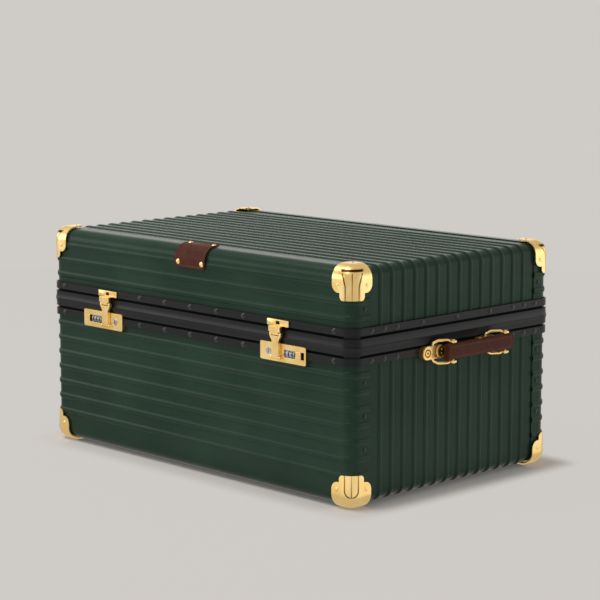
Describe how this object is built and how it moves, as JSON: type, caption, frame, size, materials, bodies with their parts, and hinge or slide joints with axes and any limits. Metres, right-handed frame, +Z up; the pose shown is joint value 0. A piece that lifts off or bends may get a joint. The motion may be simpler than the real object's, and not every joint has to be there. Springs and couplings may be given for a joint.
{
  "type": "hard trunk suitcase",
  "caption": "Ridged aluminium cabin trunk case with brass corner caps, lever locks with number dials, a hinged lid and leather swing handles on its ends.",
  "frame": {"origin": "on the floor under the middle of the case's outer box, on the plane the lower corner caps rest on", "axes": "+X along the case to its right end, +Y to the hinges at the back, +Z up; the locks face -Y"},
  "size_m": [0.5932, 0.3686, 0.2835],
  "materials": {
    "green_aluminium": "dark green anodised, satin",
    "black_frame": "black anodised extrusion, satin",
    "black_rivet": "black, semi-gloss",
    "gold_brass": "polished",
    "bright_steel": "polished",
    "dial_metal": "fine turned",
    "brown_leather": "smooth, edges sewn",
    "lining_fabric": "woven, on stiff board",
    "seal_rubber": "matt"
  },
  "bodies": {
    "base": {"base_back_panel": "green_aluminium", "base_bottom_sheet": "green_aluminium", "base_cap_rivets": "gold_brass", "base_corner_cap_back_left": "gold_brass", "base_corner_cap_back_right": "gold_brass", "base_corner_cap_front_left": "gold_brass", "base_corner_cap_front_right": "gold_brass", "base_frame": "black_frame", "base_frame_rivets": "black_rivet", "base_front_panel": "green_aluminium", "base_lining": "lining_fabric", "base_seam_rivets": "green_aluminium", "handle_end_plates": "gold_brass", "handle_screws": "gold_brass", "hinge_base_leaves": "gold_brass", "hinge_pins": "bright_steel", "latch_dial_axles": "bright_steel", "latch_pivot_pins": "bright_steel", "left_latch_plate": "gold_brass", "right_latch_plate": "gold_brass"},
    "lid": {"badge_rivets": "gold_brass", "badge_tab": "brown_leather", "hinge_lid_leaves": "gold_brass", "left_latch_keeper": "gold_brass", "lid_back_panel": "green_aluminium", "lid_cap_rivets": "gold_brass", "lid_corner_cap_back_left": "gold_brass", "lid_corner_cap_back_right": "gold_brass", "lid_corner_cap_front_left": "gold_brass", "lid_corner_cap_front_right": "gold_brass", "lid_frame": "black_frame", "lid_frame_rivets": "black_rivet", "lid_front_panel": "green_aluminium", "lid_lining": "lining_fabric", "lid_seal": "seal_rubber", "lid_seam_rivets": "green_aluminium", "lid_top_sheet": "green_aluminium", "right_latch_keeper": "gold_brass"},
    "left_lever": {"left_latch_lever": "gold_brass"},
    "left_hook": {"left_latch_hook": "gold_brass"},
    "left_button": {"left_latch_button": "gold_brass"},
    "left_dial_1": {"left_latch_dial_1": "dial_metal"},
    "left_dial_2": {"left_latch_dial_2": "dial_metal"},
    "left_dial_3": {"left_latch_dial_3": "dial_metal"},
    "left_key_barrel": {"left_latch_key_barrel": "bright_steel"},
    "left_grip": {"left_handle_grip": "brown_leather", "left_handle_grip_pins": "gold_brass"},
    "left_front_link": {"left_handle_front_link": "gold_brass"},
    "left_back_link": {"left_handle_back_link": "gold_brass"},
    "right_lever": {"right_latch_lever": "gold_brass"},
    "right_hook": {"right_latch_hook": "gold_brass"},
    "right_button": {"right_latch_button": "gold_brass"},
    "right_dial_1": {"right_latch_dial_1": "dial_metal"},
    "right_dial_2": {"right_latch_dial_2": "dial_metal"},
    "right_dial_3": {"right_latch_dial_3": "dial_metal"},
    "right_key_barrel": {"right_latch_key_barrel": "bright_steel"},
    "right_grip": {"right_handle_grip": "brown_leather", "right_handle_grip_pins": "gold_brass"},
    "right_front_link": {"right_handle_front_link": "gold_brass"},
    "right_back_link": {"right_handle_back_link": "gold_brass"}
  },
  "joints": [
    {"name": "lid_hinge", "type": "hinge", "parent": "base", "child": "lid", "pos_m": [0, 0.1805, 0.1884], "axis": [-1, 0, 0], "range_deg": [0, 100]},
    {"name": "left_lever_hinge", "type": "hinge", "parent": "base", "child": "left_lever", "pos_m": [-0.1562, -0.1815, 0.1649], "axis": [1, 0, 0], "range_deg": [0, 120]},
    {"name": "left_hook_hinge", "type": "hinge", "parent": "left_lever", "child": "left_hook", "pos_m": [-0.1562, -0.1815, 0.1924], "axis": [1, 0, 0], "range_deg": [0, 40]},
    {"name": "left_button_slide", "type": "slide", "parent": "base", "child": "left_button", "axis": [1, 0, 0], "range_m": [0, 0.005], "stiffness_N_per_m": 200},
    {"name": "left_dial_1_spin", "type": "hinge", "parent": "base", "child": "left_dial_1", "pos_m": [-0.1703, -0.1753, 0.1704], "axis": [1, 0, 0], "continuous": true},
    {"name": "left_dial_2_spin", "type": "hinge", "parent": "base", "child": "left_dial_2", "pos_m": [-0.1763, -0.1753, 0.1704], "axis": [1, 0, 0], "continuous": true},
    {"name": "left_dial_3_spin", "type": "hinge", "parent": "base", "child": "left_dial_3", "pos_m": [-0.1823, -0.1753, 0.1704], "axis": [1, 0, 0], "continuous": true},
    {"name": "left_key_turn", "type": "hinge", "parent": "base", "child": "left_key_barrel", "pos_m": [-0.1412, -0.1793, 0.1704], "axis": [0, -1, 0], "range_deg": [0, 90]},
    {"name": "left_handle_swing", "type": "hinge", "parent": "base", "child": "left_front_link", "pos_m": [-0.2793, -0.047, 0.1696], "axis": [0, 0, 1], "range_deg": [-9, 60]},
    {"name": "left_grip_pivot", "type": "hinge", "parent": "left_front_link", "child": "left_grip", "pos_m": [-0.2918, -0.02535, 0.1696], "axis": [0, 0, 1], "range_deg": [-60, 9]},
    {"name": "left_back_link_swing", "type": "hinge", "parent": "base", "child": "left_back_link", "pos_m": [-0.2793, 0.047, 0.1696], "axis": [0, 0, 1], "range_deg": [-9, 60]},
    {"name": "right_lever_hinge", "type": "hinge", "parent": "base", "child": "right_lever", "pos_m": [0.1562, -0.1815, 0.1649], "axis": [1, 0, 0], "range_deg": [0, 120]},
    {"name": "right_hook_hinge", "type": "hinge", "parent": "right_lever", "child": "right_hook", "pos_m": [0.1562, -0.1815, 0.1924], "axis": [1, 0, 0], "range_deg": [0, 40]},
    {"name": "right_button_slide", "type": "slide", "parent": "base", "child": "right_button", "axis": [1, 0, 0], "range_m": [0, 0.005], "stiffness_N_per_m": 200},
    {"name": "right_dial_1_spin", "type": "hinge", "parent": "base", "child": "right_dial_1", "pos_m": [0.1703, -0.1753, 0.1704], "axis": [1, 0, 0], "continuous": true},
    {"name": "right_dial_2_spin", "type": "hinge", "parent": "base", "child": "right_dial_2", "pos_m": [0.1763, -0.1753, 0.1704], "axis": [1, 0, 0], "continuous": true},
    {"name": "right_dial_3_spin", "type": "hinge", "parent": "base", "child": "right_dial_3", "pos_m": [0.1823, -0.1753, 0.1704], "axis": [1, 0, 0], "continuous": true},
    {"name": "right_key_turn", "type": "hinge", "parent": "base", "child": "right_key_barrel", "pos_m": [0.1412, -0.1793, 0.1704], "axis": [0, -1, 0], "range_deg": [0, 90]},
    {"name": "right_handle_swing", "type": "hinge", "parent": "base", "child": "right_front_link", "pos_m": [0.2793, -0.047, 0.1696], "axis": [0, 0, -1], "range_deg": [-9, 60]},
    {"name": "right_grip_pivot", "type": "hinge", "parent": "right_front_link", "child": "right_grip", "pos_m": [0.2918, -0.02535, 0.1696], "axis": [0, 0, -1], "range_deg": [-60, 9]},
    {"name": "right_back_link_swing", "type": "hinge", "parent": "base", "child": "right_back_link", "pos_m": [0.2793, 0.047, 0.1696], "axis": [0, 0, -1], "range_deg": [-9, 60]}
  ],
  "couplings": [
    {"joint": "left_grip_pivot", "follows": "left_handle_swing", "ratio": -1},
    {"joint": "left_back_link_swing", "follows": "left_handle_swing", "ratio": 1},
    {"joint": "right_grip_pivot", "follows": "right_handle_swing", "ratio": -1},
    {"joint": "right_back_link_swing", "follows": "right_handle_swing", "ratio": 1}
  ]
}
